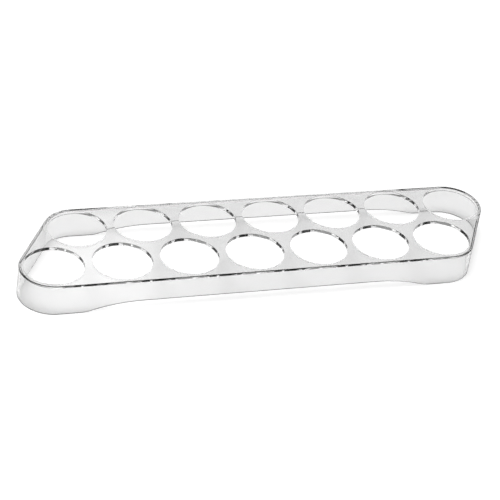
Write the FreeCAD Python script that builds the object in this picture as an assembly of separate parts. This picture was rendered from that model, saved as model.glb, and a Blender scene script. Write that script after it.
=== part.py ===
"""Clear egg holder: a flat deck with slanted ends and two nested rows of round holes, on four walls."""
import FreeCAD, Part
import math
import os

# Driving dimensions, in millimetres, degrees and counts
holes_per_row = 7
row_angle = 60.0  # direction from a front hole to the back hole behind it, and the slant of both ends
hole_diameter = 42.0  # carries a hen's egg a little below its widest girth
hole_web = 6.0  # narrowest strip of deck between neighbouring holes
hole_to_wall = 1.0  # from the edge of an outer hole to the inner face of the wall
wall_thickness = 2.0
deck_thickness = 2.4
overall_height = 23.6
wall_draft = 1.5  # lean of the walls, outwards towards the foot
deck_edge_round = 0.9
hole_edge_round = 0.2
foot_edge_round = 0.5
arch_rise = 6.2  # lift of a long wall's lower edge between its feet
foot_run = 15.0  # level foot on a long wall, from the corner bend to the start of the arch
foot_ease = 7.0  # length of the hollow curve that leaves the foot
arch_ease = 36.0  # length of the round curve that reaches the top of the arch

# Worked out from the driving dimensions
hole_radius = hole_diameter / 2
hole_pitch = hole_diameter + hole_web
row_spacing = hole_pitch * math.sin(math.radians(row_angle))
row_shift = hole_pitch * math.cos(math.radians(row_angle))
wall_height = overall_height - deck_thickness
outer_radius = hole_radius + hole_to_wall + wall_thickness
up = FreeCAD.Vector(0, 0, 1)
tolerance = 0.001


def hole_centre(row, index):
    """Centre of a hole on the base plane; row 0 is the front one, index counts from the left."""
    side = row - 0.5
    along = index - (holes_per_row - 1) / 2
    return FreeCAD.Vector(along * hole_pitch + side * row_shift, side * row_spacing, 0)


front_left = hole_centre(0, 0)
front_right = hole_centre(0, holes_per_row - 1)
back_right = hole_centre(1, holes_per_row - 1)
back_left = hole_centre(1, 0)

# Outward directions of the four straight sides, as angles from +X
front_side = 270.0
right_side = front_side + row_angle
back_side = front_side + 180.0
left_side = right_side + 180.0


def polar(centre, distance, angle, height):
    """The point at a distance and an angle from an upright axis through centre."""
    turn = math.radians(angle)
    return FreeCAD.Vector(centre.x + distance * math.cos(turn), centre.y + distance * math.sin(turn), height)


def deck_outline(height):
    """Outer edge of the deck: an arc about each corner hole, joined by straight sides."""
    bends = [
        (front_left, left_side - 360, front_side),
        (front_right, front_side, right_side),
        (back_right, right_side, back_side),
        (back_left, back_side, left_side),
    ]
    arcs = []
    for centre, start, end in bends:
        angles = (start, (start + end) / 2, end)
        arcs.append(Part.Arc(*[polar(centre, outer_radius, angle, height) for angle in angles]))
    edges = []
    for arc, following in zip(arcs, arcs[1:] + arcs[:1]):
        edges.append(arc.toShape())
        edges.append(Part.LineSegment(arc.EndPoint, following.StartPoint).toShape())
    return Part.Wire(edges)


def is_hole_edge(edge):
    return isinstance(edge.Curve, Part.Circle) and abs(edge.Curve.Radius - hole_radius) < tolerance


def make_egg_deck():
    """The plate that carries the eggs, with its outer edge and the mouths of its holes rounded."""
    plate = Part.Face(deck_outline(wall_height)).extrude(up * deck_thickness)
    for row in (0, 1):
        for index in range(holes_per_row):
            foot = hole_centre(row, index) + up * wall_height
            plate = plate.cut(Part.makeCylinder(hole_radius, deck_thickness, foot))
    top_edges = [edge for edge in plate.Edges if edge.BoundBox.ZMin > overall_height - tolerance]
    rim_edges = [edge for edge in top_edges if not is_hole_edge(edge)]
    hole_edges = [edge for edge in top_edges if is_hole_edge(edge)]
    plate = plate.makeFillet(deck_edge_round, rim_edges)
    return plate.makeFillet(hole_edge_round, hole_edges)


def wall_section(centre, angle, bottom):
    """A wall cut across, on the ray that leaves centre at this angle, from the height bottom to the deck."""
    spread = (wall_height - bottom) * math.tan(math.radians(wall_draft))
    corners = [
        (outer_radius, wall_height),
        (outer_radius - wall_thickness, wall_height),
        (outer_radius + spread - wall_thickness, bottom),
        (outer_radius + spread, bottom),
    ]
    points = [polar(centre, distance, angle, height) for distance, height in corners]
    return Part.Face(Part.makePolygon(points + points[:1]))


def round_lower_edges(wall):
    """Rounds the two edges that run along the bottom of a wall."""
    lower_edges = []
    for edge in wall.Edges:
        if edge.BoundBox.ZMax < arch_rise + tolerance and edge.Length > 2 * wall_thickness:
            lower_edges.append(edge)
    return wall.makeFillet(foot_edge_round, lower_edges)


def make_left_end_wall():
    """A slanted straight run between the bends round the two left corners."""
    back_bend = wall_section(back_left, back_side, 0).revolve(back_left, up, left_side - back_side)
    run = wall_section(back_left, left_side, 0).extrude(front_left - back_left)
    front_bend = wall_section(front_left, left_side, 0).revolve(front_left, up, front_side + 360 - left_side)
    return round_lower_edges(back_bend.fuse([run, front_bend]).removeSplitter())


def arch_side(foot_x, direction):
    """The two arcs from a foot up to the top of the arch, which lies in the given direction along X."""
    half_turn = math.atan(arch_rise / (foot_ease + arch_ease))
    foot_radius = foot_ease / math.sin(2 * half_turn)
    arch_radius = arch_ease / math.sin(2 * half_turn)
    arch_x = foot_x + direction * (foot_ease + arch_ease)
    foot_drop = foot_radius * (1 - math.cos(half_turn))
    arch_drop = arch_radius * (1 - math.cos(half_turn))

    def point(x, z):
        return FreeCAD.Vector(x, 0, z)

    start = point(foot_x, 0)
    foot_middle = point(foot_x + direction * foot_radius * math.sin(half_turn), foot_drop)
    meeting = point(foot_x + direction * foot_ease, foot_ease * math.tan(half_turn))
    arch_middle = point(arch_x - direction * arch_radius * math.sin(half_turn), arch_rise - arch_drop)
    end = point(arch_x, arch_rise)
    return [Part.Arc(start, foot_middle, meeting), Part.Arc(meeting, arch_middle, end)]


def make_front_wall():
    """A straight wall between the two front corners, its lower edge arched between level feet."""
    depth = 2 * arch_rise
    run = wall_section(front_left, front_side, -depth / 2).extrude(front_right - front_left)
    left_arcs = arch_side(front_left.x + foot_run, 1)
    right_arcs = arch_side(front_right.x - foot_run, -1)
    overshoot = foot_run
    left_end = FreeCAD.Vector(front_left.x - overshoot, 0, 0)
    right_end = FreeCAD.Vector(front_right.x + overshoot, 0, 0)
    below = up * -depth
    lines = [
        (left_end, left_arcs[0].StartPoint),
        (left_arcs[1].EndPoint, right_arcs[1].EndPoint),
        (right_arcs[0].StartPoint, right_end),
        (right_end, right_end + below),
        (right_end + below, left_end + below),
        (left_end + below, left_end),
    ]
    curves = left_arcs + right_arcs + [Part.LineSegment(start, end) for start, end in lines]
    edges = Part.__sortEdges__([curve.toShape() for curve in curves])
    reach = FreeCAD.Vector(0, run.BoundBox.YMin - wall_thickness, 0)
    cutter = Part.Face(Part.Wire(edges)).extrude(reach)
    return round_lower_edges(run.cut(cutter))


def half_turn_copy(wall):
    """The wall on the opposite side: the holder is the same after half a turn about its middle."""
    copy = wall.copy()
    copy.rotate(FreeCAD.Vector(0, 0, 0), up, 180)
    return copy


left_end_wall = make_left_end_wall()
front_wall = make_front_wall()
nodes = {
    "egg_deck": make_egg_deck(),
    "front_wall": front_wall,
    "back_wall": half_turn_copy(front_wall),
    "left_end_wall": left_end_wall,
    "right_end_wall": half_turn_copy(left_end_wall),
}

os.makedirs("parts", exist_ok=True)
for name, shape in nodes.items():
    solid = shape.Solids[0]
    print(name, shape.isValid(), len(shape.Solids), round(solid.Volume, 1), shape.BoundBox)
    solid.exportStep("parts/" + name + ".step")
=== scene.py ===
"""Clear egg holder: a drilled deck on four cemented walls, in water-clear plastic on a white floor."""
import math

import bmesh
import bpy
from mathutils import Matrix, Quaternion, Vector


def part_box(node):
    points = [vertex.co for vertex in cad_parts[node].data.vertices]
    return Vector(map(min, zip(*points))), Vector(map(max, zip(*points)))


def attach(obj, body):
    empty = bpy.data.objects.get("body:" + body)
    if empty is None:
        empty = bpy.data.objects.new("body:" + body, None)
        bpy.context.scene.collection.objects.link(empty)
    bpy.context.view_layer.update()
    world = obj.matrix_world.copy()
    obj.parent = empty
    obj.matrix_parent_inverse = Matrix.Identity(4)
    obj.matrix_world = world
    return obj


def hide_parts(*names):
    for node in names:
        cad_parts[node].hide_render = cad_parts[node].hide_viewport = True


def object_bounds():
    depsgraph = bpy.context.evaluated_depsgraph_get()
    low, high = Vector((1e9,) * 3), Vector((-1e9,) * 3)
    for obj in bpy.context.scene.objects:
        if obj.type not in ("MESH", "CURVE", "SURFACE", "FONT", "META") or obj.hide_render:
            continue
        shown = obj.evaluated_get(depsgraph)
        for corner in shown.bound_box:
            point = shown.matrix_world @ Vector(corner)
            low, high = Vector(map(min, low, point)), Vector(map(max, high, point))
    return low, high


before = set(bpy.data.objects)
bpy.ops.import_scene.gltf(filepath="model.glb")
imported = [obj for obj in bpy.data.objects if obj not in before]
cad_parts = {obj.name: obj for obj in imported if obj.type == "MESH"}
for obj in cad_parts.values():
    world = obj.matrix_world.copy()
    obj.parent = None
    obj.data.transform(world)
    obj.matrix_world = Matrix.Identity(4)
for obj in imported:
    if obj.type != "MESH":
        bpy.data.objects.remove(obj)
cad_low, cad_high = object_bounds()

# Sizes that the frame gives, in metres
deck_low, deck_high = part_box("egg_deck")
front_low, front_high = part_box("front_wall")
wall_height = deck_low.z
deck_top = deck_high.z
outer_radius = front_low.x - deck_low.x
front_row_y = deck_low.y + outer_radius
wall_thickness = outer_radius - (front_row_y - front_high.y)

# Sizes of the forms that the boxes don't give, in metres and degrees
holes_per_row = 7
hole_radius = 0.021
deck_edge_round = 0.0009
hole_edge_round = 0.0002
foot_edge_round = 0.0005
wall_draft = 1.5
arch_rise = 0.0062
foot_run = 0.015
foot_ease = 0.007
arch_ease = 0.036

# Fineness and shading of the meshes
bend_step = 2.5  # degrees of turn between sections round a corner
run_step = 0.004  # length between sections on a straight run
arch_step = 0.0015  # length between sections along an arch
hole_segments = 144
round_segments = 6
sharp_angle = 40.0  # degrees; an edge that turns by more stays sharp
large_face_weight = 90  # above 50, the larger faces at a corner lead its shading

hole_pitch = (front_high.x - front_low.x) / (holes_per_row - 1)
front_left = Vector((front_low.x, front_row_y))
front_right = Vector((front_high.x, front_row_y))
back_right = -front_left
back_left = -front_right

# Outward directions of the straight sides, as degrees from +X
front_side = 270.0
slant = back_left - front_left
left_side = math.degrees(math.atan2(slant.y, slant.x)) + 90.0
right_side = left_side + 180.0
back_side = front_side + 180.0


def bend(centre, start, end):
    """Stations, each a centre and an outward angle, round a corner hole."""
    count = max(2, math.ceil((end - start) / bend_step))
    return [(centre, start + (end - start) * i / count) for i in range(count + 1)]


def run(start, end, angle):
    """Stations between two corners, without the ends, which belong to the bends."""
    count = math.ceil((end - start).length / run_step)
    return [(start.lerp(end, i / count), angle) for i in range(1, count)]


def place(station, offset, height):
    """The point at an offset from a station's centre, outward, and a height."""
    centre, angle = station
    turn = math.radians(angle)
    return Vector((centre.x + offset * math.cos(turn), centre.y + offset * math.sin(turn), height))


def quarter(centre_offset, centre_height, radius, start):
    """Profile points on a quarter circle that turns on from the angle start, in degrees."""
    points = []
    for i in range(round_segments + 1):
        turn = math.radians(start + 90.0 * i / round_segments)
        points.append((centre_offset + radius * math.cos(turn), centre_height + radius * math.sin(turn)))
    return points


def loft(bm, rings, close_path, close_ring):
    """Joins rings of points by quads; gives the faces by their place round the ring, then any end caps."""
    rows = [[bm.verts.new(point) for point in ring] for ring in rings]
    size = len(rows[0])
    strips = [[] for _ in range(size if close_ring else size - 1)]
    pairs = list(zip(rows, rows[1:]))
    if close_path:
        pairs.append((rows[-1], rows[0]))
    for here, there in pairs:
        for index, strip in enumerate(strips):
            after = (index + 1) % size
            strip.append(bm.faces.new((here[index], there[index], there[after], here[after])))
    if not close_path:
        strips.append([bm.faces.new(rows[0]), bm.faces.new(rows[-1])])
    return strips


def mark_bond(faces):
    """Cemented faces take the second material."""
    for face in faces:
        face.material_index = 1


def fill_level(bm, height):
    """Closes the flat region between all open edges at one height."""
    near = 1e-6

    def is_open_here(edge):
        return edge.is_boundary and all(abs(vertex.co.z - height) < near for vertex in edge.verts)

    open_edges = [edge for edge in bm.edges if is_open_here(edge)]
    bmesh.ops.triangle_fill(bm, edges=open_edges, use_beauty=True, normal=(0, 0, 1))


def make_deck():
    """The deck: a rounded outer rim, fourteen holes with eased mouths, and the flats between."""
    bm = bmesh.new()
    outline = bend(front_left, left_side, front_side)
    outline += run(front_left, front_right, front_side)
    outline += bend(front_right, front_side, right_side)
    outline += run(front_right, back_right, right_side)
    outline += bend(back_right, right_side, back_side)
    outline += run(back_right, back_left, back_side)
    outline += bend(back_left, back_side, left_side + 360.0)
    outline += run(back_left, front_left, left_side)
    profile = [(outer_radius - wall_thickness, wall_height), (outer_radius, wall_height)]
    profile += quarter(outer_radius - deck_edge_round, deck_top - deck_edge_round, deck_edge_round, 0.0)
    rings = [[place(station, *point) for point in profile] for station in outline]
    strips = loft(bm, rings, close_path=True, close_ring=False)
    # The first strip lies on the walls
    mark_bond(strips[0])

    mouth = [(hole_radius, wall_height)]
    ease = quarter(hole_radius + hole_edge_round, deck_top - hole_edge_round, hole_edge_round, 90.0)
    mouth += ease[::-1]
    for row in (front_left, back_left):
        for index in range(holes_per_row):
            centre = row + Vector((index * hole_pitch, 0.0))
            stations = [(centre, 360.0 * i / hole_segments) for i in range(hole_segments)]
            rings = [[place(station, *point) for point in mouth] for station in stations]
            loft(bm, rings, close_path=True, close_ring=False)
    fill_level(bm, deck_top)
    fill_level(bm, wall_height)
    return bm


def wall_profile(bottom):
    """A wall cut across, as offsets and heights: down the outside, round the foot and up the inside."""
    lean = math.tan(math.radians(wall_draft))
    foot_height = bottom + foot_edge_round

    def outside(height):
        return outer_radius + (wall_height - height) * lean

    inner = outside(foot_height) - wall_thickness
    points = [(outer_radius, wall_height)]
    outer_ease = quarter(outside(foot_height) - foot_edge_round, foot_height, foot_edge_round, 270.0)
    points += outer_ease[::-1]
    inner_ease = quarter(inner + foot_edge_round, foot_height, foot_edge_round, 180.0)
    points += inner_ease[::-1]
    points.append((outer_radius - wall_thickness, wall_height))
    return points


def make_wall(sections):
    """A wall lofted through sections, each a station and the height of its lower edge."""
    bm = bmesh.new()
    rings = [[place(station, *point) for point in wall_profile(bottom)] for station, bottom in sections]
    strips = loft(bm, rings, close_path=False, close_ring=True)
    # The last strip is the top face, and the end caps follow it
    mark_bond(strips[-2])
    mark_bond(strips[-1])
    return bm


def make_left_end_wall():
    """One strip bent round both left corners, level at the foot."""
    stations = bend(back_left, back_side - 360.0, left_side)
    stations += run(back_left, front_left, left_side)
    stations += bend(front_left, left_side, front_side)
    return make_wall([(station, 0.0) for station in stations])


def arch_height(distance):
    """Height of a long wall's lower edge at a distance from its nearer end: foot, two arcs, level top."""
    along = distance - foot_run
    arc_turn = math.atan(arch_rise / (foot_ease + arch_ease))
    foot_radius = foot_ease / math.sin(2 * arc_turn)
    arch_radius = arch_ease / math.sin(2 * arc_turn)
    to_top = foot_ease + arch_ease - along
    if along <= 0:
        return 0.0
    if along < foot_ease:
        return foot_radius - math.sqrt(foot_radius ** 2 - along ** 2)
    if to_top > 0:
        return arch_rise - arch_radius + math.sqrt(arch_radius ** 2 - to_top ** 2)
    return arch_rise


def make_front_wall():
    """A straight wall between the front corners, its lower edge arched."""
    length = (front_right - front_left).length
    count = math.ceil(length / arch_step)
    sections = []
    for i in range(count + 1):
        distance = length * i / count
        centre = front_left.lerp(front_right, i / count)
        sections.append(((centre, front_side), arch_height(min(distance, length - distance))))
    return make_wall(sections)


def half_turn(bm):
    """The same piece on the opposite side."""
    copy = bm.copy()
    for vertex in copy.verts:
        vertex.co.x *= -1
        vertex.co.y *= -1
    return copy


def add_piece(name, node, bm, materials):
    """Turns a finished bmesh into a smooth-shaded piece that stands for a node."""
    bmesh.ops.recalc_face_normals(bm, faces=bm.faces)
    mesh = bpy.data.meshes.new(name)
    bm.to_mesh(mesh)
    bm.free()
    mesh.shade_smooth()
    mesh.set_sharp_from_angle(angle=math.radians(sharp_angle))
    for material in materials:
        mesh.materials.append(material)
    piece = bpy.data.objects.new(name, mesh)
    bpy.context.scene.collection.objects.link(piece)
    flatten = piece.modifiers.new("even_normals", "WEIGHTED_NORMAL")
    flatten.mode = "FACE_AREA"
    flatten.weight = large_face_weight
    flatten.keep_sharp = True
    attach(piece, "root")
    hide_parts(node)


def new_material(name):
    """An empty material; gives its nodes and links too."""
    material = bpy.data.materials.new(name)
    material.use_nodes = True
    material.node_tree.nodes.clear()
    return material, material.node_tree.nodes, material.node_tree.links


def link_math(nodes, links, operation, first, second):
    """A math node on two sockets or numbers; gives its result socket."""
    node = nodes.new("ShaderNodeMath")
    node.operation = operation
    for socket, value in zip(node.inputs, (first, second)):
        if isinstance(value, float):
            socket.default_value = value
        else:
            links.new(value, socket)
    return node.outputs["Value"]


def add_noise(nodes, links, scale, detail):
    """Noise that is fixed to the piece; gives its result socket."""
    coords = nodes.new("ShaderNodeTexCoord")
    noise = nodes.new("ShaderNodeTexNoise")
    noise.inputs["Scale"].default_value = scale
    noise.inputs["Detail"].default_value = detail
    links.new(coords.outputs["Object"], noise.inputs["Vector"])
    return noise.outputs["Fac"]


def add_range(nodes, links, value, source, target, curve="LINEAR"):
    """Maps a socket from one span to another and holds it at the ends; gives its result socket."""
    node = nodes.new("ShaderNodeMapRange")
    node.interpolation_type = curve
    node.inputs["From Min"].default_value, node.inputs["From Max"].default_value = source
    node.inputs["To Min"].default_value, node.inputs["To Max"].default_value = target
    links.new(value, node.inputs["Value"])
    return node.outputs["Result"]


def make_clear_plastic():
    """Water-clear plastic with a faint uneven tint, fine wear and flow waves; lamps shine through it."""
    material, nodes, links = new_material("clear_plastic")
    plastic = nodes.new("ShaderNodeBsdfPrincipled")
    plastic.inputs["IOR"].default_value = 1.49
    plastic.inputs["Transmission Weight"].default_value = 1.0

    tint = nodes.new("ShaderNodeValToRGB")
    tint.color_ramp.elements[0].color = (0.96, 0.96, 0.96, 1.0)
    tint.color_ramp.elements[1].color = (1.0, 1.0, 1.0, 1.0)
    links.new(add_noise(nodes, links, scale=18.0, detail=2.0), tint.inputs["Fac"])
    links.new(tint.outputs["Color"], plastic.inputs["Base Color"])

    grain = add_noise(nodes, links, scale=240.0, detail=6.0)
    wear = add_range(nodes, links, grain, source=(0.3, 0.8), target=(0.0, 0.05))
    links.new(wear, plastic.inputs["Roughness"])

    waves = nodes.new("ShaderNodeBump")
    waves.inputs["Strength"].default_value = 0.25
    waves.inputs["Distance"].default_value = 0.0004
    links.new(add_noise(nodes, links, scale=45.0, detail=1.0), waves.inputs["Height"])
    links.new(waves.outputs["Normal"], plastic.inputs["Normal"])

    # Lamp light goes straight through, less of it where it meets the surface at a low angle
    clear = nodes.new("ShaderNodeBsdfTransparent")
    slope = nodes.new("ShaderNodeLayerWeight")
    slope.inputs["Blend"].default_value = 0.1
    passed = add_range(nodes, links, slope.outputs["Facing"], source=(0.0, 1.0), target=(0.96, 0.0))
    links.new(passed, clear.inputs["Color"])

    path = nodes.new("ShaderNodeLightPath").outputs
    mix = nodes.new("ShaderNodeMixShader")
    lamp_light = link_math(nodes, links, "MAXIMUM", path["Is Shadow Ray"], path["Is Diffuse Ray"])
    links.new(lamp_light, mix.inputs["Fac"])
    links.new(plastic.outputs["BSDF"], mix.inputs[1])
    links.new(clear.outputs["BSDF"], mix.inputs[2])
    output = nodes.new("ShaderNodeOutputMaterial")
    links.new(mix.outputs["Shader"], output.inputs["Surface"])
    return material


def make_cement():
    """The cement in the joints has the plastic's own index, so a joint doesn't show."""
    material, nodes, links = new_material("clear_cement")
    clear = nodes.new("ShaderNodeBsdfTransparent")
    output = nodes.new("ShaderNodeOutputMaterial")
    links.new(clear.outputs["BSDF"], output.inputs["Surface"])
    return material


def make_white_floor():
    """Matt white, with a glow that brings it to full white for the camera, and a little in the plastic."""
    seen_glow = 0.32
    plastic_glow = 0.07
    material, nodes, links = new_material("white_floor")
    matt = nodes.new("ShaderNodeBsdfDiffuse")
    matt.inputs["Color"].default_value = (0.8, 0.8, 0.8, 1.0)
    glow = nodes.new("ShaderNodeEmission")
    path = nodes.new("ShaderNodeLightPath").outputs
    in_plastic = link_math(nodes, links, "MAXIMUM", path["Is Glossy Ray"], path["Is Transmission Ray"])
    mirrored = link_math(nodes, links, "MULTIPLY", in_plastic, plastic_glow)
    seen = link_math(nodes, links, "MULTIPLY", path["Is Camera Ray"], seen_glow)
    links.new(link_math(nodes, links, "MAXIMUM", mirrored, seen), glow.inputs["Strength"])
    both = nodes.new("ShaderNodeAddShader")
    links.new(matt.outputs["BSDF"], both.inputs[0])
    links.new(glow.outputs["Emission"], both.inputs[1])
    output = nodes.new("ShaderNodeOutputMaterial")
    links.new(both.outputs["Shader"], output.inputs["Surface"])
    return material


def add_floor():
    """A round white floor, a hair below the feet, that takes the object's shadow."""
    floor_radius = 1.2
    floor_segments = 96
    floor_gap = 0.0002
    bm = bmesh.new()
    bmesh.ops.create_circle(bm, cap_ends=True, segments=floor_segments, radius=floor_radius)
    mesh = bpy.data.meshes.new("floor")
    bm.to_mesh(mesh)
    bm.free()
    mesh.materials.append(make_white_floor())
    floor = bpy.data.objects.new("floor", mesh)
    floor.location.z = cad_low.z - floor_gap
    bpy.context.scene.collection.objects.link(floor)


def heading(azimuth, elevation):
    """Unit direction, in degrees: azimuth 0 is +Y, away from the camera, and 90 is +X."""
    turn, rise = math.radians(azimuth), math.radians(elevation)
    return Vector((math.sin(turn) * math.cos(rise), math.cos(turn) * math.cos(rise), math.sin(rise)))


def add_world():
    """A dim room with soft round panels in it; the camera itself sees plain white."""
    room_level = 0.08
    # Each panel: its direction, its full and its outer angle from there in degrees, and its strength
    panels = [
        (heading(10.0, 40.0), 20.0, 45.0, 0.2),
        (heading(65.0, 42.0), 10.0, 18.0, 1.2),
        (heading(14.3, 37.0), 0.8, 2.8, 1.0),
    ]
    world = bpy.data.worlds.new("studio")
    bpy.context.scene.world = world
    world.use_nodes = True
    nodes, links = world.node_tree.nodes, world.node_tree.links
    nodes.clear()
    coords = nodes.new("ShaderNodeTexCoord")
    level = room_level
    for direction, full_angle, end_angle, strength in panels:
        facing = nodes.new("ShaderNodeVectorMath")
        facing.operation = "DOT_PRODUCT"
        facing.inputs[1].default_value = direction
        links.new(coords.outputs["Generated"], facing.inputs[0])
        edge = (math.cos(math.radians(end_angle)), math.cos(math.radians(full_angle)))
        light = add_range(nodes, links, facing.outputs["Value"], edge, (0.0, strength), "SMOOTHSTEP")
        level = link_math(nodes, links, "ADD", level, light)
    camera_ray = nodes.new("ShaderNodeLightPath").outputs["Is Camera Ray"]
    background = nodes.new("ShaderNodeBackground")
    background.inputs["Color"].default_value = (1.0, 1.0, 1.0, 1.0)
    links.new(link_math(nodes, links, "MAXIMUM", level, camera_ray), background.inputs["Strength"])
    output = nodes.new("ShaderNodeOutputWorld")
    links.new(background.outputs["Background"], output.inputs["Surface"])


def hang_lamp(data, location, aim):
    """Hangs a lamp that shines at a point; the plastic mirrors the room's panels and not the lamp."""
    lamp = bpy.data.objects.new(data.name, data)
    lamp.location = location
    lamp.rotation_mode = "QUATERNION"
    lamp.rotation_quaternion = (aim - location).to_track_quat("-Z", "Y")
    lamp.visible_glossy = False
    lamp.visible_transmission = False
    bpy.context.scene.collection.objects.link(lamp)


def add_ceiling_lamp():
    """One large soft disk, high above the camera's side, in metres and watts."""
    position = Vector((-1.2, -0.6, 5.0))
    floor_middle = Vector((0.0, 0.0, 0.0))
    data = bpy.data.lights.new("ceiling_lamp", "AREA")
    data.shape = "DISK"
    data.size = 3.0
    data.energy = 246.0
    hang_lamp(data, position, floor_middle)


def add_accent_lamp():
    """A weak spot with a soft edge, straight above the left half of the second front hole."""
    lamp_height = 1.5
    along_pitch = 0.8  # share of a pitch, from the middle of the first front hole
    cone_angle = 3.2
    data = bpy.data.lights.new("accent_lamp", "SPOT")
    data.energy = 28.0
    data.spot_size = math.radians(cone_angle)
    data.spot_blend = 1.0
    data.shadow_soft_size = 0.05
    patch = Vector((front_left.x + along_pitch * hole_pitch, front_row_y, 0.0))
    hang_lamp(data, patch + Vector((0.0, 0.0, lamp_height)), patch)


def add_camera():
    """The photograph's view, in metres and degrees, on a 36 mm wide sensor."""
    position = Vector((-0.3404, -0.8553, 0.6585))
    aim = Vector((-0.0154, -0.0192, deck_top))
    roll = 8.546
    data = bpy.data.cameras.new("camera")
    data.sensor_width = 36.0
    data.lens = 111.67
    camera = bpy.data.objects.new("camera", data)
    camera.location = position
    camera.rotation_mode = "QUATERNION"
    level = (aim - position).to_track_quat("-Z", "Y")
    camera.rotation_quaternion = level @ Quaternion((0, 0, 1), math.radians(roll))
    bpy.context.scene.collection.objects.link(camera)
    bpy.context.scene.camera = camera


def set_light_paths():
    """Light turns many times inside clear plastic; the few turns by reflection keep its edges dark."""
    most_turns = 40
    most_reflections = 6
    paths = bpy.context.scene.cycles
    paths.max_bounces = most_turns
    paths.transmission_bounces = most_turns
    paths.transparent_max_bounces = most_turns
    paths.glossy_bounces = most_reflections


plastic_materials = [make_clear_plastic(), make_cement()]
left_end = make_left_end_wall()
front = make_front_wall()
add_piece("clear_right_end_wall", "right_end_wall", half_turn(left_end), plastic_materials)
add_piece("clear_left_end_wall", "left_end_wall", left_end, plastic_materials)
add_piece("clear_back_wall", "back_wall", half_turn(front), plastic_materials)
add_piece("clear_front_wall", "front_wall", front, plastic_materials)
add_piece("clear_egg_deck", "egg_deck", make_deck(), plastic_materials)

add_floor()
add_world()
add_ceiling_lamp()
add_accent_lamp()
add_camera()
set_light_paths()
bpy.context.scene.view_settings.view_transform = "Standard"
